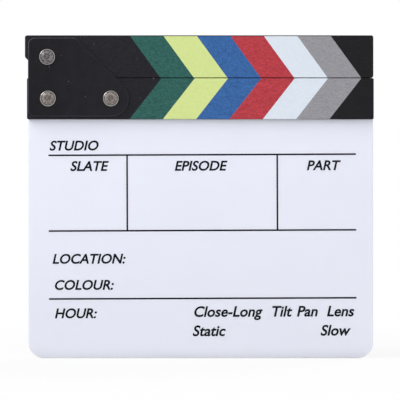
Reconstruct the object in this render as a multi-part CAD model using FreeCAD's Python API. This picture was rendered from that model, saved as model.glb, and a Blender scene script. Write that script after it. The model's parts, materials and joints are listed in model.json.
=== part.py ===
import FreeCAD, Part
import math
import os

from FreeCAD import Vector

# Clapperboard in millimetres: +X to the right, +Z up, and the front faces -Y.
# The origin is the middle of the writing panel's bottom edge.

# Writing panel
board_width = 200.0           # the lower stick's length
panel_drop = 138.0            # height seen below the lower stick
panel_thickness = 3.0
panel_end_inset = 0.45        # the panel is this much shorter at each end
panel_corner_radius = 9.0
panel_bevel = 0.25
panel_top_clearance = 0.2

# Clapsticks
stick_offset = -0.3           # from the panel's middle to the lower stick's
lower_stick_height = 23.7
upper_stick_height = 24.5
stick_thickness = 10.0
lower_corner_radius = 0.8
upper_corner_radius = 1.3
hinge_end_radius = 2.0        # where the cut at the upper stick's hinge end starts
stick_bevel = 0.3
stick_gap = 0.2
groove_ledge = 6.0            # stick left above the panel's groove
upper_stick_lead = 1.2        # the upper stick reaches this much further left
upper_stick_end_gap = 0.2     # and stops this far short of the lower one's free end

# Hinge plates
plate_thickness = 1.5
plate_margin = 1.5            # stick left bare above and below a plate
plate_end_margin = 0.65       # lower stick left bare at its hinge end
plate_corner_radius = 4.0
plate_shoulder_radius = 2.5
plate_bevel = 0.4
plate_slope_degrees = 45.0
clamp_end_inset = 12.25
clamp_spacing = 36.2

# Pivot
pivot_end_inset = 13.0        # from the upper stick's hinge end
pivot_height = 11.9           # above the upper stick's lower edge
sleeve_wall = 1.35
running_clearance = 0.05
friction_washer_thickness = 0.3
friction_washer_rim = 3.5
friction_play = 0.05

# Button-head screws
screw_diameter = 5.0
screw_clearance = 0.15
screw_tail = 2.0              # thread that shows past the nut
screw_end_chamfer = 0.5
head_overhang = 2.25
head_height = 2.75
head_rim = 1.0                # straight side below the dome
socket_width = 3.0
socket_depth = 1.6

# Lock nuts, each with the collar that holds its nylon ring
thread_clearance = 0.05
nut_wall = 1.45
nut_hex_height = 3.4
nut_chamfer = 0.4
nut_collar_height = 1.6
nut_collar_step = 0.2

# Panel screws
panel_screw_count = 2
panel_screw_diameter = 3.0
panel_screw_head_overhang = 1.25
panel_screw_end_inset = 12.0
panel_screw_cover = 2.0       # stick left in front of a screw
recess_length = 2.8
recess_width = 0.7
recess_depth = 1.0
press_clearance = 0.02

# Magnets
magnet_diameter = 6.0
magnet_height = 3.0
magnet_recess = 0.1
magnet_end_inset = 14.0

# Stripes
stripe_colours = ("green", "yellow", "blue", "red", "white", "grey")
lower_stripe_angle_degrees = 38.0
upper_stripe_angle_degrees = 36.0
stripe_start_gap = 0.37       # from the plate's nose to the first stripe, at the stick's edge
stripe_end_margin = 7.0       # black left at a stick's free end, on the joint line
film_thickness = 0.1
upper_film_margin = 0.2       # black left above the stripes, below the top bevel

overrun = 1.0                 # every cut passes this far beyond its piece

# Depths, from the front plate's face to the ends of the screws
panel_front_y = -panel_thickness / 2
panel_back_y = panel_thickness / 2
front_y = -stick_thickness / 2
back_y = stick_thickness / 2
middle_y = (front_y + back_y) / 2
plate_front_y = front_y - plate_thickness
plate_back_y = back_y + plate_thickness
nut_end_y = plate_back_y + nut_hex_height + nut_collar_height
screw_end_y = nut_end_y + screw_tail

# Levels, from the panel's bottom edge up
lower_bottom_z = panel_drop
lower_top_z = lower_bottom_z + lower_stick_height
groove_top_z = lower_top_z - groove_ledge
panel_top_z = groove_top_z - panel_top_clearance
upper_bottom_z = lower_top_z + stick_gap
upper_top_z = upper_bottom_z + upper_stick_height
joint_z = (lower_top_z + upper_bottom_z) / 2

# Places along the board
panel_left_x = panel_end_inset - board_width / 2
panel_right_x = board_width / 2 - panel_end_inset
left_x = stick_offset - board_width / 2
right_x = stick_offset + board_width / 2
upper_left_x = left_x - upper_stick_lead
upper_right_x = right_x - upper_stick_end_gap
pivot_x = upper_left_x + pivot_end_inset
pivot_z = upper_bottom_z + pivot_height
clamp_near_x = left_x + clamp_end_inset
clamp_far_x = clamp_near_x + clamp_spacing
clamp_z = (lower_bottom_z + lower_top_z) / 2
clamp_places = ((clamp_near_x, clamp_z), (clamp_far_x, clamp_z))
magnet_x = right_x - magnet_end_inset

# Radii that fit round the screws
screw_radius = screw_diameter / 2
screw_hole_radius = screw_radius + screw_clearance
thread_radius = screw_radius + thread_clearance
sleeve_radius = screw_hole_radius + sleeve_wall
pivot_bore_radius = sleeve_radius + running_clearance
plate_reach = lower_stick_height / 2 - plate_margin
side_play = friction_washer_thickness + friction_play


def rounded_outline(corners):
    """A closed wire in the XZ plane through (x, z, radius) corners, each rounded by its radius."""
    points = [Vector(x, 0, z) for x, z, radius in corners]
    bends = []
    for index, (x, z, radius) in enumerate(corners):
        point = points[index]
        to_before = (points[index - 1] - point).normalize()
        to_after = (points[(index + 1) % len(points)] - point).normalize()
        half_angle = to_before.getAngle(to_after) / 2
        reach = radius / math.tan(half_angle)
        inward = (to_before + to_after).normalize()
        middle = point + inward * (radius / math.sin(half_angle) - radius)
        bends.append((point + to_before * reach, middle, point + to_after * reach))
    edges = []
    for index, (start, middle, end) in enumerate(bends):
        if corners[index][2] > 0:
            edges.append(Part.Arc(start, middle, end).toShape())
        next_start = bends[(index + 1) % len(bends)][0]
        edges.append(Part.LineSegment(end, next_start).toShape())
    return Part.Wire(edges)


def outline_slab(corners, y_start, y_end):
    """The rounded outline as a slab between two depths."""
    slab = Part.Face(rounded_outline(corners)).extrude(Vector(0, y_end - y_start, 0))
    slab.translate(Vector(0, y_start, 0))
    return slab


def round_bar(x, z, radius, y_start, y_end):
    return Part.makeCylinder(radius, y_end - y_start, Vector(x, y_start, z), Vector(0, 1, 0))


def ring(x, z, inner_radius, outer_radius, y_start, y_end):
    hole = round_bar(x, z, inner_radius, y_start - overrun, y_end + overrun)
    return round_bar(x, z, outer_radius, y_start, y_end).cut(hole)


def hex_bar(x, z, across_flats, y_start, y_end):
    corner_radius = across_flats / (2 * math.cos(math.pi / 6))
    corners = []
    for step in range(6):
        angle = step * math.pi / 3
        corners.append((x + corner_radius * math.sin(angle), z + corner_radius * math.cos(angle), 0))
    return outline_slab(corners, y_start, y_end)


def turned(x, y, z, profile):
    """A solid of revolution about a Y axis through the point, from (radius, depth) pairs."""
    points = [Vector(radius, depth, 0) for radius, depth in profile]
    wire = Part.makePolygon(points + points[:1])
    solid = Part.Face(wire).revolve(Vector(0, 0, 0), Vector(0, 1, 0), 360)
    solid.translate(Vector(x, y, z))
    return solid


def edges_at_depth(shape, y):
    """The edges that lie in the plane at this depth."""
    tolerance = FreeCAD.Base.Precision.confusion()
    return [edge for edge in shape.Edges
            if abs(edge.BoundBox.YMin - y) < tolerance and abs(edge.BoundBox.YMax - y) < tolerance]


def drill(piece, places, radius, y_start, y_end):
    """The piece with a hole at each (x, z) place."""
    for x, z in places:
        piece = piece.cut(round_bar(x, z, radius, y_start - overrun, y_end + overrun))
    return piece


def panel_screw_places():
    """Even steps from the free end back to the far clamp screw, half way up the panel's groove."""
    last_x = right_x - panel_screw_end_inset
    step = (last_x - clamp_far_x) / panel_screw_count
    z = (lower_bottom_z + panel_top_z) / 2
    return [(last_x - index * step, z) for index in range(panel_screw_count)]


def panel_screw_form(x, z, clearance):
    """A countersunk screw driven from the back, made larger by the clearance for its hole."""
    radius = panel_screw_diameter / 2 + clearance
    length = stick_thickness - panel_screw_cover + clearance
    profile = [(0, 0), (radius + panel_screw_head_overhang, 0), (radius, -panel_screw_head_overhang),
               (radius, -length), (0, -length)]
    return turned(x, back_y, z, profile)


def drill_for_panel_screws(piece):
    for x, z in panel_screw_places():
        piece = piece.cut(panel_screw_form(x, z, press_clearance))
    return piece


def magnet_pocket(z):
    """The room for a magnet that starts at the level z and goes up."""
    radius = magnet_diameter / 2 + press_clearance
    return Part.makeCylinder(radius, magnet_height + magnet_recess, Vector(magnet_x, middle_y, z))


def make_writing_panel():
    """A sheet with round lower corners. Its top sits in the groove under the lower stick."""
    corners = [(panel_left_x, 0, panel_corner_radius), (panel_right_x, 0, panel_corner_radius),
               (panel_right_x, panel_top_z, 0), (panel_left_x, panel_top_z, 0)]
    panel = outline_slab(corners, panel_front_y, panel_back_y)
    rims = edges_at_depth(panel, panel_front_y) + edges_at_depth(panel, panel_back_y)
    bare_rims = [rim for rim in rims if rim.BoundBox.ZMin < lower_bottom_z]
    panel = panel.makeChamfer(panel_bevel, bare_rims)
    panel = drill(panel, clamp_places, screw_hole_radius, panel_front_y, panel_back_y)
    return drill_for_panel_screws(panel)


def bevelled_bar(corners, y_start, y_end):
    """A bar of this rounded outline, with a bevel along its front and back."""
    bar = outline_slab(corners, y_start, y_end)
    return bar.makeChamfer(stick_bevel, edges_at_depth(bar, y_start) + edges_at_depth(bar, y_end))


def make_lower_stick():
    """A bar with a groove for the panel along its underside."""
    points = [(left_x, lower_top_z), (right_x, lower_top_z),
              (right_x, lower_bottom_z), (left_x, lower_bottom_z)]
    stick = bevelled_bar([(x, z, lower_corner_radius) for x, z in points], front_y, back_y)
    groove_corner = Vector(left_x - overrun, panel_front_y, lower_bottom_z - overrun)
    groove_length = board_width + 2 * overrun
    groove_height = groove_top_z - lower_bottom_z + overrun
    stick = stick.cut(Part.makeBox(groove_length, panel_thickness, groove_height, groove_corner))
    stick = drill(stick, clamp_places, screw_hole_radius, front_y, back_y)
    stick = drill_for_panel_screws(stick)
    return stick.cut(magnet_pocket(lower_top_z - magnet_height - magnet_recess))


def make_upper_stick():
    """The lower left corner is cut at 45 degrees from the pivot's level, which lets that end swing down."""
    corners = [(upper_left_x, upper_top_z, upper_corner_radius),
               (upper_right_x, upper_top_z, upper_corner_radius),
               (upper_right_x, upper_bottom_z, upper_corner_radius),
               (upper_left_x + pivot_height, upper_bottom_z, upper_corner_radius),
               (upper_left_x, pivot_z, hinge_end_radius)]
    stick = bevelled_bar(corners, front_y + side_play, back_y - side_play)
    stick = drill(stick, [(pivot_x, pivot_z)], pivot_bore_radius, front_y, back_y)
    return stick.cut(magnet_pocket(upper_bottom_z))


def make_magnet(z):
    return Part.makeCylinder(magnet_diameter / 2, magnet_height, Vector(magnet_x, middle_y, z))


def slope_x(z):
    """Where the plate's slope, which just touches the nose's circle, stands at the level z."""
    slope = math.radians(plate_slope_degrees)
    return clamp_far_x + (plate_reach - (z - clamp_z) * math.cos(slope)) / math.sin(slope)


def make_hinge_plate(y_start, y_end, outer_y):
    """A plate over all three screws. Its nose is round about the far clamp screw."""
    plate_left_x = left_x + plate_end_margin
    plate_top_z = upper_top_z - plate_margin
    plate_bottom_z = lower_bottom_z + plate_margin
    corners = [(plate_left_x, plate_top_z, plate_corner_radius),
               (slope_x(plate_top_z), plate_top_z, plate_shoulder_radius),
               (slope_x(plate_bottom_z), plate_bottom_z, plate_reach),
               (plate_left_x, plate_bottom_z, plate_corner_radius)]
    plate = outline_slab(corners, y_start, y_end)
    plate = plate.makeChamfer(plate_bevel, edges_at_depth(plate, outer_y))
    return drill(plate, [(pivot_x, pivot_z), *clamp_places], screw_hole_radius, y_start, y_end)


def make_screw(x, z):
    """A domed head with a hexagon socket, seated on the front plate, and a plain shank."""
    head_radius = screw_radius + head_overhang
    dome_height = head_height - head_rim
    ball_radius = (head_radius ** 2 + dome_height ** 2) / (2 * dome_height)
    head_top_y = plate_front_y - head_height
    ball = Part.makeSphere(ball_radius, Vector(x, head_top_y + ball_radius, z))
    head = round_bar(x, z, head_radius, head_top_y, plate_front_y).common(ball)
    head = head.cut(hex_bar(x, z, socket_width, head_top_y - overrun, head_top_y + socket_depth))
    shank_length = screw_end_y - plate_front_y
    shank_profile = [(0, 0), (screw_radius, 0), (screw_radius, shank_length - screw_end_chamfer),
                     (screw_radius - screw_end_chamfer, shank_length), (0, shank_length)]
    return head.fuse(turned(x, plate_front_y, z, shank_profile)).removeSplitter()


def make_lock_nut(x, z):
    """A hexagon that is turned down to a chamfer and then to a round collar."""
    flat_radius = thread_radius + nut_wall
    blank_radius = flat_radius + 2 * nut_chamfer
    collar_radius = flat_radius - nut_collar_step
    nut_height = nut_end_y - plate_back_y
    blank_profile = [(0, 0), (blank_radius, 0), (blank_radius, nut_hex_height - nut_chamfer),
                     (flat_radius, nut_hex_height), (collar_radius, nut_hex_height),
                     (collar_radius, nut_height), (0, nut_height)]
    nut = hex_bar(x, z, 2 * flat_radius, plate_back_y, nut_end_y)
    nut = nut.common(turned(x, plate_back_y, z, blank_profile))
    return drill(nut, [(x, z)], thread_radius, plate_back_y, nut_end_y)


def make_friction_washer(y_start):
    """A thin ring on the sleeve, between the turning stick and a plate."""
    outer_radius = pivot_bore_radius + friction_washer_rim
    y_end = y_start + friction_washer_thickness
    return ring(pivot_x, pivot_z, pivot_bore_radius, outer_radius, y_start, y_end)


def make_panel_screw(x, z):
    """The countersunk screw with a cross recess in its flat head."""
    screw = panel_screw_form(x, z, 0)
    for width, height in ((recess_length, recess_width), (recess_width, recess_length)):
        slot_corner = Vector(x - width / 2, back_y - recess_depth, z - height / 2)
        screw = screw.cut(Part.makeBox(width, recess_depth + overrun, height, slot_corner))
    return screw


def make_stripe(index, side, angle_degrees, stick_height, far_margin, stick_end_x, stick_front_y):
    """One coloured film. Stripes lean away from the joint line, up on one stick and down on the other."""
    lean = math.tan(math.radians(angle_degrees))
    near = stick_gap / 2 + stick_bevel
    edge = stick_gap / 2 + stick_height
    far = edge - far_margin
    first_tip_x = clamp_far_x + plate_reach + stripe_start_gap + edge * lean
    last_tip_x = stick_end_x - stripe_end_margin
    width = (last_tip_x - first_tip_x) / len(stripe_colours)
    start_x = first_tip_x + index * width
    end_x = start_x + width
    near_z = joint_z + side * near
    far_z = joint_z + side * far
    corners = [(start_x - near * lean, near_z, 0), (end_x - near * lean, near_z, 0),
               (end_x - far * lean, far_z, 0), (start_x - far * lean, far_z, 0)]
    return outline_slab(corners, stick_front_y - film_thickness, stick_front_y)


def group(make_piece, places):
    """Like pieces at several places, as separate solids of one node."""
    return Part.makeCompound([make_piece(x, z) for x, z in places])


def make_parts():
    parts = {
        "writing_panel": make_writing_panel(),
        "lower_stick": make_lower_stick(),
        "upper_stick": make_upper_stick(),
        "front_hinge_plate": make_hinge_plate(plate_front_y, front_y, plate_front_y),
        "rear_hinge_plate": make_hinge_plate(back_y, plate_back_y, plate_back_y),
        "pivot_screw": make_screw(pivot_x, pivot_z),
        "pivot_sleeve": ring(pivot_x, pivot_z, screw_hole_radius, sleeve_radius, front_y, back_y),
        "front_friction_washer": make_friction_washer(front_y),
        "rear_friction_washer": make_friction_washer(back_y - friction_washer_thickness),
        "pivot_lock_nut": make_lock_nut(pivot_x, pivot_z),
        "clamp_screws": group(make_screw, clamp_places),
        "clamp_lock_nuts": group(make_lock_nut, clamp_places),
        "panel_screws": group(make_panel_screw, panel_screw_places()),
        "lower_magnet": make_magnet(lower_top_z - magnet_recess - magnet_height),
        "upper_magnet": make_magnet(upper_bottom_z + magnet_recess),
    }
    lower_form = (-1, lower_stripe_angle_degrees, lower_stick_height, stick_bevel, right_x, front_y)
    upper_margin = stick_bevel + upper_film_margin
    upper_front_y = front_y + side_play
    upper_form = (1, upper_stripe_angle_degrees, upper_stick_height, upper_margin, upper_right_x, upper_front_y)
    for index, colour in enumerate(stripe_colours):
        parts["lower_stripe_" + colour] = make_stripe(index, *lower_form)
        parts["upper_stripe_" + colour] = make_stripe(index, *upper_form)
    return parts


os.makedirs("parts", exist_ok=True)
for name, shape in make_parts().items():
    shape.exportStep("parts/" + name + ".step")
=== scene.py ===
import json
import math

import bmesh
import bpy
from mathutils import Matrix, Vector


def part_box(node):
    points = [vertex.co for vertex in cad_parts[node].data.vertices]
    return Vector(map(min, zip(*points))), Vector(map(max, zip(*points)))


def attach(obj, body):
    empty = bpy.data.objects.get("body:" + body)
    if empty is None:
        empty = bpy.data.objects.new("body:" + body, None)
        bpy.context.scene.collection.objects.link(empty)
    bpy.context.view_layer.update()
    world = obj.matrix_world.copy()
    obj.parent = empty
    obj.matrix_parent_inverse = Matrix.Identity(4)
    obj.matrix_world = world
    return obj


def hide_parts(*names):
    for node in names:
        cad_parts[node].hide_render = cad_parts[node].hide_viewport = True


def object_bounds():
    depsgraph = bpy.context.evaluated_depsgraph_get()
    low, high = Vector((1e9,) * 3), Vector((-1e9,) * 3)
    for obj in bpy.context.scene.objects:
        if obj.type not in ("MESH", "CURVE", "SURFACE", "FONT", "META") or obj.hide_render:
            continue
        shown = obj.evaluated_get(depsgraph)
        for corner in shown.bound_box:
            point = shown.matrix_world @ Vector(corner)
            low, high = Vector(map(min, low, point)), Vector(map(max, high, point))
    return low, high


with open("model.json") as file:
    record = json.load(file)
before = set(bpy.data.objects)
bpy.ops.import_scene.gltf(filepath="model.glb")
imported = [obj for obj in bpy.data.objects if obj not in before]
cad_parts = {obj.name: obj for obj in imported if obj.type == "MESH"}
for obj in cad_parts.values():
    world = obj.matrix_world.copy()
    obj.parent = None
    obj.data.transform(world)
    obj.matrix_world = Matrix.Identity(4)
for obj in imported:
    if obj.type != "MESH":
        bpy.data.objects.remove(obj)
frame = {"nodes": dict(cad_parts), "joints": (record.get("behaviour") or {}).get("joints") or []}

cad_low, cad_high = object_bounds()
nodes = frame["nodes"]
scene = bpy.context.scene
MM = 0.001

# Places and sizes from the frame
board_middle = (cad_low + cad_high) / 2
panel_front_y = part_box("writing_panel")[0].y
head_radius = (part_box("clamp_screws")[1].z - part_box("clamp_screws")[0].z) / 2
screw_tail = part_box("pivot_screw")[1].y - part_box("pivot_lock_nut")[1].y  # what stands out of the nut

# The photograph's view: straight at the front, 400 pixels wide
photo_width_px = 400
mm_per_px = 0.5766  # at the front of the sticks
camera_distance = 1500 * MM
view_centre_x = -0.5 * MM
view_centre_z = 91.4 * MM

# Light: each lamp's name, place and size in metres, power in watts, and whether reflections show it
lamps = (
    ("key", (-0.85, -0.6, 1.2), 1.2, 10.7, False),
    ("glint", (-1.18, -0.46, 1.08), 0.7, 6.0, True),
    ("fill", (0.1, -1.3, 0.45), 1.5, 10.4, False),
    ("back", (0.9, 1.6, 1.3), 1.4, 22.0, True),
)
world_light = 0.24
pure_white = (1, 1, 1, 1)
floor_size = 8.0
floor_colour = (0.9, 0.9, 0.9, 1)
floor_roughness = 0.9
floor_whiteness_share = 0.8  # the rest of the floor's look is its shading, which holds the shadow
floor_shadow_reach = 0.45  # from the board's foot to where the floor is pure white

# Colours in sRGB, chosen so that they render as they read in the photograph
panel_tint = (226, 228, 239)
panel_shade = (223, 225, 237)  # of its clouds
# painted shade toward the foot of the sheet
panel_foot_shade_tint = (222, 224, 234)
panel_edge_shade_tint = (204, 206, 215)  # painted shade along the bottom edge
panel_left_shade_tint = (205, 207, 217)  # painted shade on the left cut side
# painted highlight on the right cut side
panel_right_highlight_tint = (236, 238, 247)
ink_tint = (5, 6, 15)
worn_ink_tint = (22, 25, 38)
black_tint = (27, 26, 33)  # at the hinge
far_black_tint = (17, 17, 20)  # at the free end
plate_tints = ((14, 13, 19), (22, 21, 27))  # at the left and at the nose
# painted highlight along the plates' bevels
plate_highlight_tint = (78, 77, 82)
fleck_tint = (120, 119, 122)
stripe_tints = {
    "green": (40, 86, 80),
    "yellow": (200, 214, 139),
    "blue": (50, 93, 150),
    "red": (170, 55, 64),
    "white": (210, 218, 228),
    "grey": (141, 140, 145),
}
pivot_steel_tints = ((86, 84, 85), (147, 143, 144))  # of the dark and the light mottles
clamp_steel_tints = ((106, 100, 97), (162, 153, 148))
# painted highlight on the rim of the screw heads
steel_rim_highlight_tint = (168, 165, 163)
# painted shade in the screw heads' groove and socket and round their seat
steel_shade_tint = (62, 59, 58)
zinc_tint = (176, 178, 180)
nickel_tint = (196, 194, 188)
nylon_tints = ((210, 208, 196), (222, 220, 210))

# What the finishes share
noise_range = (0.3, 0.7)  # where most of a noise lies
narrow_noise_range = (0.35, 0.65)
front_limit = -0.4  # the Y of a normal is below this on the front and on its bevels

# White acrylic
panel_cloud_size = 60 * MM
panel_haze_size = 4 * MM
panel_haze_stretch = (6, 1, 1)
panel_haze_relief = 0.002 * MM
panel_roughness = (0.22, 0.27)
panel_ior = 1.49
panel_scatter_share = 0.35
panel_scatter_depth = 2 * MM
# Painted shade, from this height down to the foot, and in a band along the bottom edge
panel_foot_shade_height = 100 * MM
panel_edge_shade_width = 11 * MM
panel_edge_shade_falloff = 3.5
cut_side_light_turn = (0.1, 0.6)  # of a normal to the side, where a cut side's painted shade or highlight starts and is full

# Print on linen: each layer's size, detail, stretch and share, then how the print takes the threads
linen_layers = (
    (0.6 * MM, 2.0, (5, 1, 1), 0.35),  # weft
    (0.55 * MM, 2.0, (1, 1, 4), 0.2),  # warp
    (0.7 * MM, 3.0, (1, 1, 1), 0.45),  # grain
)
linen_relief = 0.03 * MM
print_roughness = (0.62, 0.5)  # between the threads and on top of them
black_tone = 0.4  # how far the threads lighten and darken the colour
pale_tone = 0.05
pale_lightness = 0.72
dark_tone_slope = 0.9  # by which the tone grows as a film is darker than a pale one
film_gloss = 0.2
black_gloss = 0.18
joint_line_width = 0.42 * MM  # left black between the sticks

# Flecks all over the black, and chips where the sticks clap together
fleck_size = 1.4 * MM
fleck_range = (0.79, 0.84)  # of the noise, from none to full
fleck_share = 0.9
chip_size = 2.2 * MM
chip_stretch = (1.5, 1, 1)
chip_range = (0.7, 0.74)
chip_share = 0.8
chip_reach = 0.85 * MM  # from the joint line to where chips end

# Coated plates, with a painted highlight along their bevels
peel_size = 0.5 * MM
peel_relief = 0.02 * MM
peel_tone = 0.3
plate_cloud_size = 6 * MM
plate_cloud_share = 0.5  # of the plate's length, by which clouds shift its tint
plate_roughness = (0.4, 0.5)
plate_corner_radius = 4 * MM
bevel_slant = 0.7  # the Y of a bevel's normal, and how far it may be off
bevel_slack = 0.2
highlight_strip_width = 0.4 * MM  # of the bevel, and of the painted highlight strip beside it
bevel_highlight_share = 0.25
highlight_corner_turn = (0.1, 0.8)  # of a bevel to the upper left, where its painted highlight starts to grow and is strongest
corner_highlight_share = 0.8
# the nose's bevels get a weaker painted highlight
nose_highlight_turn = (-0.7, -0.1)
nose_highlight_share = 0.4
strip_highlight_share = 0.7
highlight_patch_size = 4 * MM
highlight_patch_shares = (0.6, 1)

# Metal, nylon and ink
mark_size = 0.25 * MM
mark_stretch = (1, 1, 4)
mark_relief = 0.01 * MM
metal_mottle_size = 2.5 * MM
metal_roughness_slack = 0.08
zinc_roughness = 0.32
zinc_contrast = 0.15
nickel_roughness = 0.15
nickel_contrast = 0.08
head_mottle_size = 1.0 * MM
head_roughness = (0.36, 0.5)
head_rim_roughness = 0.2
ring_spacing = 0.15 * MM  # of the turning marks
ring_relief = 0.01 * MM
# strength of the painted shade in the heads' groove and round their seat, then in the socket
hollow_shade_share = 0.8
socket_shade_share = 0.3
nylon_cloud_size = 1.5 * MM
nylon_relief = 0.02 * MM
nylon_roughness = (0.42, 0.55)
ink_wear_size = 1.2 * MM
ink_wear_range = (0.4, 0.75)
ink_relief = 0.005 * MM
ink_roughness = (0.35, 0.45)
ink_gloss = 0.12

# Screw heads, threads and lock nuts
sharp_edge_degrees = 35
turn_steps = 72
head_height = 2.75 * MM
head_rim_height = 1.0 * MM
head_rim_round = 0.25 * MM
groove_radius = 3.85 * MM
groove_half_width = 0.3 * MM
groove_depth = 0.22 * MM
socket_width = 3.0 * MM
socket_depth = 1.6 * MM
socket_mouth = 0.2 * MM
dome_steps = 12
rim_steps = 2
thread_pitch = 0.8 * MM
thread_crest = 2.48 * MM
thread_root = 2.05 * MM
thread_step = 0.08 * MM
thread_overlap = 0.5 * MM  # thread that starts inside the nut
thread_lead = 0.45 * MM  # chamfer at the screw's end
nut_bore = 2.52 * MM
nut_hex_height = 3.4 * MM
nut_chamfer = 0.45 * MM
nut_chamfer_steps = 4
nut_collar_radius = 3.78 * MM
nut_lip_radius = 0.42 * MM
nut_lip_steps = 6
nut_ring_inset = 0.25 * MM

# Printed form on the panel, in the panel's own plane
print_thickness = 0.03 * MM
print_tilt_degrees = 0.23  # the print sits a little askew on the sheet
print_middle_z = 92 * MM
rule_width = 0.95 * MM
rule_left_x = -88.0 * MM
rule_right_x = 89.7 * MM
rule_levels = (117.55 * MM, 73.8 * MM, 34.53 * MM)
divider_places = (-42.57 * MM, 44.22 * MM)
field_cap_height = 5.55 * MM
note_cap_height = 6.0 * MM
letter_slant = 0.22
letter_weight = 0.025  # added all round, as a share of the letters' size
letter_curve_steps = 4
letter_weld_share = 1 / 2000  # of the letters' size, within which points are joined
fields = (
    ("studio", "STUDIO", -87.6 * MM, 120.45 * MM),
    ("slate", "SLATE", -75.6 * MM, 108.6 * MM),
    ("episode", "EPISODE", -15.4 * MM, 108.5 * MM),
    ("part", "PART", 61.0 * MM, 108.5 * MM),
    ("location", "LOCATION:", -86.2 * MM, 55.0 * MM),
    ("colour", "COLOUR:", -85.3 * MM, 39.9 * MM),
    ("hour", "HOUR:", -85.0 * MM, 23.5 * MM),
)
notes = (
    ("close_long", "Close-Long", -4.9 * MM, 24.0 * MM),
    ("tilt", "Tilt", 40.0 * MM, 24.0 * MM),
    ("pan", "Pan", 54.9 * MM, 24.0 * MM),
    ("lens", "Lens", 72.2 * MM, 24.0 * MM),
    ("static", "Static", -5.3 * MM, 12.9 * MM),
    ("slow", "Slow", 68.6 * MM, 12.9 * MM),
)


def srgb(tint):
    """A tint of three bytes as the linear colour that a socket takes."""
    channels = []
    for byte in tint:
        share = byte / 255
        channels.append(share / 12.92 if share <= 0.04045 else ((share + 0.055) / 1.055) ** 2.4)
    return (*channels, 1.0)


def between(start, stop, steps):
    """Evenly spaced values from the start to the stop."""
    return [start + (stop - start) * step / steps for step in range(steps + 1)]


class NodeTree:
    """Short calls that add shader nodes to a tree. Most give the new node's output."""

    def __init__(self, tree):
        self.tree = tree

    def put(self, socket, value):
        """Sets a socket, or links it if the value is another node's output."""
        if isinstance(value, bpy.types.NodeSocket):
            self.tree.links.new(value, socket)
        else:
            socket.default_value = value

    def add(self, kind, inputs=(), **settings):
        node = self.tree.nodes.new("ShaderNode" + kind)
        for name, value in settings.items():
            setattr(node, name, value)
        for key, value in dict(inputs).items():
            self.put(node.inputs[key], value)
        return node

    def point(self):
        """The place on the piece, in metres, which moves with it."""
        return self.add("TexCoord").outputs["Object"]

    def facing(self):
        """The piece's own normal, which turns with it."""
        return self.add("TexCoord").outputs["Normal"]

    def axis(self, vector, name):
        return self.add("SeparateXYZ", {0: vector}).outputs[name]

    def math(self, operation, first, second=0.0, third=0.0):
        return self.add("Math", {0: first, 1: second, 2: third}, operation=operation).outputs[0]

    def noise(self, size, detail, stretch=(1, 1, 1)):
        """Noise whose features are about this size, drawn out along an axis by its stretch."""
        scale = [1 / (size * length) for length in stretch]
        place = self.add("VectorMath", {0: self.point(), 1: scale}, operation="MULTIPLY").outputs[0]
        return self.add("TexNoise", {"Vector": place, "Scale": 1.0, "Detail": detail}).outputs[0]

    def remap(self, value, low, high, out_low, out_high):
        inputs = {0: value, 1: low, 2: high, 3: out_low, 4: out_high}
        return self.add("MapRange", inputs).outputs[0]

    def mix(self, share, first, second):
        inputs = {0: share, 6: first, 7: second}
        return self.add("Mix", inputs, data_type="RGBA").outputs[2]

    def scaled(self, colour, factor):
        return self.add("VectorMath", {0: colour, 3: factor}, operation="SCALE").outputs[0]

    def bands(self, value, colours):
        """Equal hard-edged bands of colour as the value goes from 0 to 1."""
        node = self.add("ValToRGB", {0: value})
        ramp = node.color_ramp
        ramp.interpolation = "CONSTANT"
        for index, colour in enumerate(colours):
            at = index / len(colours)
            stop = ramp.elements[0] if index == 0 else ramp.elements.new(at)
            stop.color = colour
        ramp.elements.remove(ramp.elements[-1])
        return node.outputs[0]

    def bump(self, height, relief, strength):
        inputs = {"Height": height, "Distance": relief, "Strength": strength}
        return self.add("Bump", inputs).outputs[0]

    def seen_directly(self):
        """1 for rays from the camera, and for mirrored or transmitted ones, which all see white."""
        path = self.add("LightPath").outputs
        seen = self.math("MAXIMUM", path["Is Camera Ray"], path["Is Glossy Ray"])
        return self.math("MAXIMUM", seen, path["Is Transmission Ray"])


class Finish(NodeTree):
    """A material with one shader, whose sockets are set by their names."""

    def __init__(self, name):
        self.material = bpy.data.materials.new(name)
        self.material.use_nodes = True
        super().__init__(self.material.node_tree)
        self.shader = self.tree.nodes["Principled BSDF"]

    def set(self, **values):
        for name, value in values.items():
            self.put(self.shader.inputs[name.replace("_", " ")], value)


def acrylic_colour(finish):
    """A cloudy white, with painted shade toward the foot and along the bottom edge, painted shade on the
    left cut side and a painted highlight on the right one.
    """
    cloud = finish.remap(finish.noise(panel_cloud_size, detail=3), *noise_range, 0, 1)
    tint = finish.mix(cloud, srgb(panel_shade), srgb(panel_tint))
    height = finish.axis(finish.point(), "Z")
    # painted shade toward the foot and along the bottom edge
    foot_shade = finish.remap(height, cad_low.z, panel_foot_shade_height, 1, 0)
    tint = finish.mix(foot_shade, tint, srgb(panel_foot_shade_tint))
    edge = finish.remap(height, cad_low.z, cad_low.z + panel_edge_shade_width, 1, 0)
    tint = finish.mix(finish.math("POWER", edge, panel_edge_shade_falloff), tint, srgb(panel_edge_shade_tint))
    # painted shade on the left cut side, painted highlight on the right one
    sideways = finish.axis(finish.facing(), "X")
    start, full = cut_side_light_turn
    tint = finish.mix(finish.remap(sideways, -full, -start, 1, 0), tint, srgb(panel_left_shade_tint))
    return finish.mix(finish.remap(sideways, start, full, 0, 1), tint, srgb(panel_right_highlight_tint))


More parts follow.
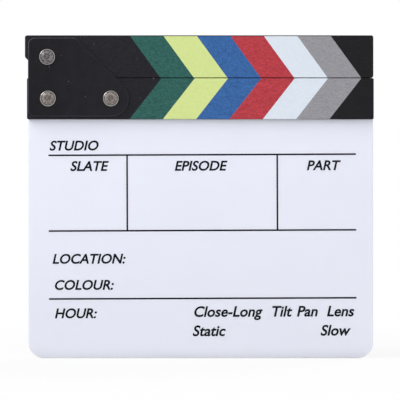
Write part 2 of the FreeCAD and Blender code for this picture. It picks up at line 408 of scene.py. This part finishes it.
def make_acrylic():
    """White sheet with a soft, hazed gloss."""
    finish = Finish("white_acrylic")
    haze = finish.noise(panel_haze_size, detail=4, stretch=panel_haze_stretch)
    finish.set(Base_Color=acrylic_colour(finish), IOR=panel_ior)
    finish.set(Roughness=finish.remap(haze, *noise_range, *panel_roughness))
    finish.set(Subsurface_Weight=panel_scatter_share, Subsurface_Radius=(1, 1, 1))
    finish.set(Subsurface_Scale=panel_scatter_depth)
    finish.set(Normal=finish.bump(haze, panel_haze_relief, strength=0.2))
    return finish.material


def linen(finish):
    """The crossed threads of the printed covering, from 0 to 1."""
    weft, warp, grain = [finish.math("MULTIPLY", finish.noise(*layer), share)
                         for *layer, share in linen_layers]
    return finish.math("ADD", finish.math("ADD", weft, warp), grain)


def print_finish(name, colour, tone, gloss):
    """Satin print on linen, of a colour that a function gives. The tone is the threads' contrast."""
    finish = Finish(name)
    threads = linen(finish)
    shade = finish.remap(threads, *narrow_noise_range, 1 - tone, 1 + tone)
    finish.set(Base_Color=finish.scaled(colour(finish), shade), Specular_IOR_Level=gloss)
    finish.set(Roughness=finish.remap(threads, *narrow_noise_range, *print_roughness))
    finish.set(Normal=finish.bump(threads, linen_relief, strength=0.5))
    return finish.material


def make_stripe(colour_name):
    """A coloured film. The threads show most on the dark colours."""
    tint = stripe_tints[colour_name]
    lightness = sum(tint) / len(tint) / 255
    tone = pale_tone + dark_tone_slope * max(0, pale_lightness - lightness)
    return print_finish("print_" + colour_name, lambda finish: srgb(tint)[:3], tone, film_gloss)


def make_stick(stick_name):
    """A black stick, with the stripes' colours on the bevels beside the films."""
    def colour(finish):
        return stick_colour(finish, stick_name)

    return print_finish("print_black_" + stick_name, colour, black_tone, black_gloss)


def stick_colour(finish, stick_name):
    """Black, apart from the stripes, which go on over the small bevels beside the films."""
    first_x, width, lean, joint_z = stripe_layout(stick_name)
    place = finish.point()
    reach = finish.math("ABSOLUTE", finish.math("SUBTRACT", finish.axis(place, "Z"), joint_z))
    tip_x = finish.math("MULTIPLY_ADD", reach, lean, finish.axis(place, "X"))
    end = srgb(far_black_tint)
    colours = [end, *[srgb(tint) for tint in stripe_tints.values()], end]
    start_x = first_x - width
    share = finish.remap(tip_x, start_x, start_x + len(colours) * width, 0, 1)
    in_stripes = finish.math("COMPARE", share, 0.5, 0.5 - 1 / len(colours))
    top_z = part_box("upper_stripe_green")[1].z
    below_top = finish.math("LESS_THAN", finish.axis(place, "Z"), top_z)
    off_joint = finish.math("GREATER_THAN", reach, joint_line_width / 2)
    printed = finish.math("MULTIPLY", on_front(finish), in_stripes)
    printed = finish.math("MULTIPLY", finish.math("MULTIPLY", printed, below_top), off_joint)
    return finish.mix(printed, stick_black(finish, reach), finish.bands(share, colours))


def stripe_layout(stick_name):
    """The first stripe's X at the joint line, the stripes' width and lean, and the joint line's Z."""
    first_low, first_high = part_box(stick_name + "_stripe_green")
    last_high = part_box(stick_name + "_stripe_grey")[1]
    width = (last_high.x - first_high.x) / (len(stripe_tints) - 1)
    joint_z = (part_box("lower_stick")[1].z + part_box("upper_stick")[0].z) / 2
    lean = (first_high.x - width - first_low.x) / (first_high.z - first_low.z)
    near_reach = min(abs(first_low.z - joint_z), abs(first_high.z - joint_z))
    return first_high.x - width + lean * near_reach, width, lean, joint_z


def stick_black(finish, reach):
    """Black that is darker at the free end, with flecks, and with chips close to the joint line."""
    along = finish.remap(finish.axis(finish.point(), "X"), cad_low.x, cad_high.x, 0, 1)
    black = flecked(finish, finish.mix(along, srgb(black_tint), srgb(far_black_tint)))
    chips = finish.noise(chip_size, detail=1, stretch=chip_stretch)
    chips = finish.remap(chips, *chip_range, 0, chip_share)
    at_edge = finish.math("LESS_THAN", reach, chip_reach)
    return finish.mix(finish.math("MULTIPLY", chips, at_edge), black, srgb(fleck_tint))


def flecked(finish, tint):
    """The tint with a few small pale flecks, where the black has come off."""
    flecks = finish.remap(finish.noise(fleck_size, detail=1), *fleck_range, 0, fleck_share)
    return finish.mix(flecks, tint, srgb(fleck_tint))


def on_front(finish):
    """1 on the front and on its bevels, and 0 elsewhere."""
    return finish.math("LESS_THAN", finish.axis(finish.facing(), "Y"), front_limit)


def make_plate():
    """Black coated sheet metal with a fine orange peel and a painted highlight along its bevels."""
    finish = Finish("black_coating")
    peel = finish.noise(peel_size, detail=2)
    cloud = finish.noise(plate_cloud_size, detail=3)
    low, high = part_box("front_hinge_plate")
    along = finish.remap(finish.axis(finish.point(), "X"), low.x, high.x, 0, 1)
    shift = finish.remap(cloud, *noise_range, -plate_cloud_share, plate_cloud_share)
    tint = finish.mix(finish.math("ADD", along, shift), *[srgb(tint) for tint in plate_tints])
    tint = finish.scaled(tint, finish.remap(peel, *noise_range, 1 - peel_tone, 1 + peel_tone))
    # painted highlight over the coating along the bevels
    tint = finish.mix(plate_highlight(finish, low.x, high.z), flecked(finish, tint), srgb(plate_highlight_tint))
    finish.set(Base_Color=tint, Roughness=finish.remap(cloud, *noise_range, *plate_roughness))
    finish.set(Specular_IOR_Level=black_gloss, Normal=finish.bump(peel, peel_relief, strength=0.4))
    return finish.material


def plate_highlight(finish, left_x, top_z):
    """How strong the painted highlight is, in patches on the bevels and on a strip beside the upper
    left.
    """
    facing = finish.facing()
    slant = finish.math("ABSOLUTE", finish.axis(facing, "Y"))
    off_bevel = finish.math("ABSOLUTE", finish.math("SUBTRACT", slant, bevel_slant))
    bevel = finish.math("LESS_THAN", off_bevel, bevel_slack)
    turn = finish.math("SUBTRACT", finish.axis(facing, "Z"), finish.axis(facing, "X"))
    # the painted highlight grows toward the upper left
    corner = finish.remap(turn, *highlight_corner_turn, bevel_highlight_share, corner_highlight_share)
    nose_highlight = finish.remap(turn, *nose_highlight_turn, nose_highlight_share, bevel_highlight_share)
    highlighted_bevels = finish.math("MULTIPLY", bevel, finish.math("MAXIMUM", corner, nose_highlight))
    from_left = finish.math("SUBTRACT", finish.axis(finish.point(), "X"), left_x)
    from_top = finish.math("SUBTRACT", top_z, finish.axis(finish.point(), "Z"))
    highlight_strip = finish.remap(from_left, highlight_strip_width, 2 * highlight_strip_width, strip_highlight_share, 0)
    upper_part = finish.remap(from_top, 2 * plate_corner_radius, 3 * plate_corner_radius, 1, 0)
    highlight_strip = finish.math("MULTIPLY", finish.math("MULTIPLY", highlight_strip, upper_part), on_front(finish))
    highlight_patches = finish.remap(finish.noise(highlight_patch_size, detail=3), *narrow_noise_range, *highlight_patch_shares)
    return finish.math("MULTIPLY", finish.math("MAXIMUM", highlighted_bevels, highlight_strip), highlight_patches)


def make_metal(name, tint, roughness, contrast):
    """Plated metal, mottled by handling and with fine machining marks."""
    finish = Finish(name)
    mottle = finish.remap(finish.noise(metal_mottle_size, detail=4), *noise_range, 0, 1)
    marks = finish.noise(mark_size, detail=3, stretch=mark_stretch)
    colour = srgb(tint)[:3]
    dark = [channel * (1 - contrast) for channel in colour]
    light = [min(1.0, channel * (1 + contrast)) for channel in colour]
    finish.set(Base_Color=finish.mix(mottle, (*dark, 1), (*light, 1)), Metallic=1.0)
    smooth, dull = roughness - metal_roughness_slack, roughness + metal_roughness_slack
    finish.set(Roughness=finish.remap(marks, *noise_range, smooth, dull))
    finish.set(Normal=finish.bump(marks, mark_relief, strength=0.3))
    return finish.material


def make_screw_steel(name, tints):
    """Turned heads with fine rings, mottled by handling, with a painted highlight on the rim and painted
    shade in the hollows and round the seat.
    """
    finish = Finish(name)
    reach = finish.add("Attribute", attribute_name="reach").outputs["Fac"]
    ring_inputs = {"W": finish.math("DIVIDE", reach, ring_spacing), "Scale": 1.0, "Detail": 1.0}
    rings = finish.add("TexNoise", ring_inputs, noise_dimensions="1D").outputs[0]
    mottle = finish.remap(finish.noise(head_mottle_size, detail=3), *narrow_noise_range, 0, 1)
    tint = finish.mix(mottle, *[srgb(tint) for tint in tints])
    groove_end = groove_radius + groove_half_width
    soft_edge = groove_half_width / 2
    # the rim beyond the groove gets a painted highlight and a smoother finish
    worn = finish.remap(reach, groove_end - soft_edge, groove_end + soft_edge, 0, 1)
    tint = finish.mix(worn, tint, srgb(steel_rim_highlight_tint))
    # painted shade in the hollows and round the seat
    tint = finish.mix(head_painted_shade(finish, reach), tint, srgb(steel_shade_tint))
    dull = finish.remap(rings, *noise_range, *head_roughness)
    finish.set(Base_Color=tint, Metallic=1.0)
    finish.set(Roughness=finish.remap(worn, 0, 1, dull, head_rim_roughness))
    finish.set(Normal=finish.bump(rings, ring_relief, strength=0.4))
    return finish.material


def head_painted_shade(finish, reach):
    """Painted shade in a head's groove and socket, and round its seat."""
    off_groove = finish.math("ABSOLUTE", finish.math("SUBTRACT", reach, groove_radius))
    groove = finish.remap(off_groove, 0, groove_half_width, hollow_shade_share, 0)
    mouth_radius = socket_width / math.sqrt(3) + socket_mouth
    socket = finish.remap(reach, socket_width / 2, mouth_radius, socket_shade_share, 0)
    seat = finish.remap(reach, head_radius - head_rim_round, head_radius, 0, hollow_shade_share)
    return finish.math("MAXIMUM", finish.math("MAXIMUM", groove, socket), seat)


def make_nylon():
    """Natural nylon, a little cloudy."""
    finish = Finish("natural_nylon")
    cloud = finish.noise(nylon_cloud_size, detail=3)
    finish.set(Base_Color=finish.mix(cloud, *[srgb(tint) for tint in nylon_tints]))
    finish.set(Roughness=finish.remap(cloud, *noise_range, *nylon_roughness))
    finish.set(Normal=finish.bump(cloud, nylon_relief, strength=0.3))
    return finish.material


def make_ink():
    """Black ink, greyer where it is worn."""
    finish = Finish("print_ink")
    wear = finish.noise(ink_wear_size, detail=4)
    worn = finish.remap(wear, *ink_wear_range, 0, 1)
    finish.set(Base_Color=finish.mix(worn, srgb(ink_tint), srgb(worn_ink_tint)))
    finish.set(Roughness=finish.remap(wear, *noise_range, *ink_roughness), Specular_IOR_Level=ink_gloss)
    finish.set(Normal=finish.bump(wear, ink_relief, strength=0.3))
    return finish.material


def paint(piece, material):
    piece.data.materials.clear()
    piece.data.materials.append(material)


def new_piece(name, mesh, material, body):
    """A finished bmesh as a piece of the object, smooth but for its real edges."""
    data = bpy.data.meshes.new(name)
    bmesh.ops.recalc_face_normals(mesh, faces=mesh.faces)
    mesh.to_mesh(data)
    mesh.free()
    data.polygons.foreach_set("use_smooth", [True] * len(data.polygons))
    data.set_sharp_from_angle(angle=math.radians(sharp_edge_degrees))
    piece = bpy.data.objects.new(name, data)
    scene.collection.objects.link(piece)
    paint(piece, material)
    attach(piece, body)
    return piece


def add_turned(mesh, centre, sections, ring_shaped=False):
    """Adds a solid about a Y axis. A section is a depth and a radius, which may depend on the angle."""
    layers = mesh.verts.layers.float
    layer = layers.get("reach") or layers.new("reach")
    rings = []
    for depth, radius in sections:
        ring = []
        for step in range(turn_steps):
            angle = 2 * math.pi * step / turn_steps
            reach = radius(angle) if callable(radius) else radius
            offset = Vector((reach * math.sin(angle), depth, reach * math.cos(angle)))
            vert = mesh.verts.new(centre + offset)
            vert[layer] = reach
            ring.append(vert)
        rings.append(ring)
    pairs = list(zip(rings, rings[1:]))
    if ring_shaped:
        pairs.append((rings[-1], rings[0]))
    else:
        mesh.faces.new(rings[0])
        mesh.faces.new(rings[-1])
    for ring, after in pairs:
        for step in range(turn_steps):
            beside = (step + 1) % turn_steps
            mesh.faces.new((ring[step], ring[beside], after[beside], after[step]))


def hexagon(across_flats):
    """The radius of a hexagon at an angle, with a corner at angle 0."""
    return lambda angle: across_flats / 2 / math.cos(angle % (math.pi / 3) - math.pi / 6)


def within(outline, limit):
    """The lesser of an outline's radius and a limit."""
    return lambda angle: min(outline(angle), limit)


def screw_sections(length):
    """From the socket's floor over the dome to the threaded end, with depth 0 under the head."""
    dome_height = head_height - head_rim_height
    ball_radius = (head_radius ** 2 + dome_height ** 2) / (2 * dome_height)

    def on_dome(radius):
        return ball_radius - math.sqrt(ball_radius ** 2 - radius ** 2) - head_height, radius

    socket = hexagon(socket_width)
    mouth_radius = socket_width / math.sqrt(3) + socket_mouth
    sections = [(socket_depth - head_height, socket), (on_dome(mouth_radius)[0] + socket_mouth, socket)]
    groove_start = groove_radius - groove_half_width
    sections += [on_dome(radius) for radius in between(mouth_radius, groove_start, dome_steps)]
    sections.append((on_dome(groove_radius)[0] + groove_depth, groove_radius))
    groove_end = groove_radius + groove_half_width
    rim_start = head_radius - head_rim_round
    sections += [on_dome(radius) for radius in between(groove_end, rim_start, rim_steps)]
    sections += [(-head_rim_height + head_rim_round, head_radius), (0, head_radius), (0, thread_crest)]
    depth = length - screw_tail - thread_overlap
    while depth < length:
        sections.append((depth, thread_at(depth, length)))
        depth += thread_step
    sections.append((length, thread_at(length, length)))
    return sections


def thread_at(depth, length):
    """The radius of the screw thread at a depth, as a function of the angle."""
    lead = thread_crest - max(0, depth - length + thread_lead)

    def radius(angle):
        turn = depth / thread_pitch - angle / (2 * math.pi)
        ridge = abs(2 * (turn % 1) - 1)
        return min(lead, thread_root + (thread_crest - thread_root) * ridge)

    return radius


def nut_sections(across_flats, height):
    """A chamfered hexagon and a collar whose lip curls in over the nylon ring."""
    flats = hexagon(across_flats)
    corner = across_flats / math.sqrt(3)
    sections = [(0, nut_bore), (0, within(flats, across_flats / 2)), (nut_chamfer / 2, flats)]
    for share in between(0, 1, nut_chamfer_steps):
        limit = corner + (across_flats / 2 - corner) * share
        sections.append((nut_hex_height - nut_chamfer * (1 - share), within(flats, limit)))
    sections.append((nut_hex_height, nut_collar_radius))
    lip_centre = nut_collar_radius - nut_lip_radius
    for angle in between(0, math.pi, nut_lip_steps):
        depth = height - nut_lip_radius * (1 - math.sin(angle))
        sections.append((depth, lip_centre + nut_lip_radius * math.cos(angle)))
    sections += [(nut_hex_height, lip_centre - nut_lip_radius), (nut_hex_height, nut_bore)]
    return sections


def ring_sections(height):
    """The nylon ring inside a lock nut's collar."""
    inner = thread_crest - nut_ring_inset / 2
    top = height - nut_ring_inset
    edge = nut_ring_inset / 2
    outer = nut_collar_radius - 2 * nut_lip_radius
    return [(nut_hex_height, inner), (top - edge, inner), (top, inner + edge), (top, outer - edge),
            (top - edge, outer), (nut_hex_height, outer)]


def make_fasteners(zinc, nylon):
    """Screws with real sockets and threads, and lock nuts, in place of the plain ones."""
    pivot = Vector(frame["joints"][0]["pos_m"])
    low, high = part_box("clamp_screws")
    clamps = [Vector((x, 0, (low.z + high.z) / 2)) for x in (low.x + head_radius, high.x - head_radius)]
    plate_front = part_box("front_hinge_plate")[0].y
    plate_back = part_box("rear_hinge_plate")[1].y
    nut_low, nut_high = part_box("pivot_lock_nut")
    nut_height = nut_high.y - nut_low.y
    groups = (("pivot", [pivot], pivot_steel_tints), ("clamp", clamps, clamp_steel_tints))
    rings = bmesh.new()
    for name, places, tints in groups:
        plural = "s" if len(places) > 1 else ""
        steel = make_screw_steel(name + "_steel", tints)
        screws = bmesh.new()
        nuts = bmesh.new()
        for place in places:
            head = Vector((place.x, plate_front, place.z))
            seat = Vector((place.x, plate_back, place.z))
            add_turned(screws, head, screw_sections(high.y - plate_front))
            add_turned(nuts, seat, nut_sections(nut_high.x - nut_low.x, nut_height), ring_shaped=True)
            add_turned(rings, seat, ring_sections(nut_height), ring_shaped=True)
        screw = new_piece(name + "_threaded_screw" + plural, screws, steel, "board")
        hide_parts(name + "_screw" + plural)
        nut = new_piece(name + "_collared_nut" + plural, nuts, zinc, "board")
        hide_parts(name + "_lock_nut" + plural)
    new_piece("lock_rings", rings, nylon, "board")


def add_slab(mesh, low, high):
    """Adds a box between two corners."""
    outline = ((low.x, low.z), (high.x, low.z), (high.x, high.z), (low.x, high.z))
    front, back = [[mesh.verts.new((x, y, z)) for x, z in outline] for y in (low.y, high.y)]
    mesh.faces.new(front)
    mesh.faces.new(back)
    for index in range(len(outline)):
        beside = (index + 1) % len(outline)
        mesh.faces.new((front[index], front[beside], back[beside], back[index]))


def tilt_print(mesh):
    """Turns printed matter by the print's small tilt, about the panel's middle."""
    turn = math.radians(print_tilt_degrees)
    for vert in mesh.verts:
        across, up = vert.co.x, vert.co.z - print_middle_z
        vert.co.x = across * math.cos(turn) - up * math.sin(turn)
        vert.co.z = print_middle_z + up * math.cos(turn) + across * math.sin(turn)


def make_rules(ink):
    """The ruled lines of the form, as thin layers of ink."""
    mesh = bmesh.new()
    back_y = panel_front_y
    front_y = panel_front_y - print_thickness
    half = rule_width / 2
    for z in rule_levels:
        low = Vector((rule_left_x, front_y, z - half))
        add_slab(mesh, low, Vector((rule_right_x, back_y, z + half)))
    for x in divider_places:
        low = Vector((x - half, front_y, rule_levels[1] + half))
        add_slab(mesh, low, Vector((x + half, back_y, rule_levels[0] - half)))
    tilt_print(mesh)
    new_piece("printed_rules", mesh, ink, "board")


def text_mesh(words, size):
    """The words as a thin closed bmesh that starts at the origin, in the XZ plane."""
    curve = bpy.data.curves.new("words", "FONT")
    curve.body = words
    curve.size = size
    curve.shear = letter_slant
    curve.offset = letter_weight * size
    curve.extrude = print_thickness / 2
    curve.resolution_u = letter_curve_steps
    holder = bpy.data.objects.new("words", curve)
    scene.collection.objects.link(holder)
    evaluated = holder.evaluated_get(bpy.context.evaluated_depsgraph_get())
    flat = bpy.data.meshes.new_from_object(evaluated)
    mesh = bmesh.new()
    mesh.from_mesh(flat)
    bpy.data.objects.remove(holder)
    bpy.data.meshes.remove(flat)
    bmesh.ops.remove_doubles(mesh, verts=mesh.verts, dist=size * letter_weld_share)
    for vert in mesh.verts:
        vert.co = (vert.co.x, -vert.co.z, vert.co.y)
    return mesh


def make_labels(labels, cap_height, ink):
    """Plain field names, as thin layers of ink."""
    sample = text_mesh("H", 1.0)
    size = cap_height / max(vert.co.z for vert in sample.verts)
    sample.free()
    for name, words, x, z in labels:
        mesh = text_mesh(words, size)
        start = Vector((x, panel_front_y - print_thickness / 2, z))
        for vert in mesh.verts:
            vert.co += start
        tilt_print(mesh)
        new_piece("label_" + name, mesh, ink, "board")


def make_floor():
    """A wide white floor that keeps the object's soft shadow round the object."""
    mesh = bmesh.new()
    bmesh.ops.create_grid(mesh, x_segments=1, y_segments=1, size=floor_size / 2)
    data = bpy.data.meshes.new("floor")
    mesh.to_mesh(data)
    mesh.free()
    floor = bpy.data.objects.new("floor", data)
    floor.location.z = cad_low.z
    scene.collection.objects.link(floor)
    finish = Finish("floor_white")
    finish.set(Base_Color=floor_colour, Roughness=floor_roughness, Specular_IOR_Level=0.0)
    glow = finish.add("Emission", {"Color": pure_white, "Strength": 1.0}).outputs[0]
    away = finish.add("VectorMath", {0: finish.point()}, operation="LENGTH").outputs["Value"]
    whiteness = finish.remap(away, 0, floor_shadow_reach, floor_whiteness_share, 1)
    share = finish.math("MULTIPLY", finish.seen_directly(), whiteness)
    blend = finish.add("MixShader", {0: share, 1: finish.shader.outputs[0], 2: glow}).outputs[0]
    finish.put(finish.tree.nodes["Material Output"].inputs["Surface"], blend)
    paint(floor, finish.material)


def make_world():
    """Even soft light all round, white where the camera sees it."""
    world = bpy.data.worlds.new("studio")
    world.use_nodes = True
    scene.world = world
    sky = NodeTree(world.node_tree)
    light = sky.tree.nodes["Background"]
    sky.put(light.inputs["Color"], pure_white)
    sky.put(light.inputs["Strength"], world_light)
    backdrop = sky.add("Background", {"Color": pure_white, "Strength": 1.0})
    shades = {0: sky.seen_directly(), 1: light.outputs[0], 2: backdrop.outputs[0]}
    blend = sky.add("MixShader", shades).outputs[0]
    sky.put(sky.tree.nodes["World Output"].inputs["Surface"], blend)


def add_lamp(name, place, size, power, mirrored):
    """A soft square lamp aimed at the board's middle. Reflections show it only if it is mirrored."""
    data = bpy.data.lights.new(name, "AREA")
    data.shape = "SQUARE"
    data.size = size
    data.energy = power
    lamp = bpy.data.objects.new(name, data)
    lamp.location = place
    lamp.rotation_euler = (board_middle - Vector(place)).to_track_quat("-Z", "Y").to_euler()
    lamp.visible_glossy = mirrored
    lamp.visible_camera = False
    scene.collection.objects.link(lamp)


def make_camera():
    """A camera straight in front of the board, at the photograph's scale."""
    data = bpy.data.cameras.new("camera")
    data.sensor_fit = "HORIZONTAL"
    data.angle = 2 * math.atan(photo_width_px * mm_per_px * MM / 2 / camera_distance)
    camera = bpy.data.objects.new("camera", data)
    camera.location = (view_centre_x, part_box("lower_stick")[0].y - camera_distance, view_centre_z)
    camera.rotation_euler = (math.pi / 2, 0, 0)
    scene.collection.objects.link(camera)
    scene.camera = camera


zinc = make_metal("zinc_plate", zinc_tint, zinc_roughness, zinc_contrast)
nickel = make_metal("nickel_plate", nickel_tint, nickel_roughness, nickel_contrast)
nylon = make_nylon()
ink = make_ink()
plate = make_plate()
finishes = {
    "writing_panel": make_acrylic(),
    "lower_stick": make_stick("lower"),
    "upper_stick": make_stick("upper"),
    "front_hinge_plate": plate,
    "rear_hinge_plate": plate,
    "pivot_sleeve": zinc,
    "front_friction_washer": nylon,
    "rear_friction_washer": nylon,
    "panel_screws": zinc,
    "lower_magnet": nickel,
    "upper_magnet": nickel,
}
for colour_name in stripe_tints:
    stripe = make_stripe(colour_name)
    finishes["lower_stripe_" + colour_name] = stripe
    finishes["upper_stripe_" + colour_name] = stripe
for name, material in finishes.items():
    paint(nodes[name], material)

make_fasteners(zinc, nylon)
make_rules(ink)
make_labels(fields, field_cap_height, ink)
make_labels(notes, note_cap_height, ink)

make_floor()
make_world()
for lamp in lamps:
    add_lamp(*lamp)
make_camera()
scene.view_settings.view_transform = "Standard"
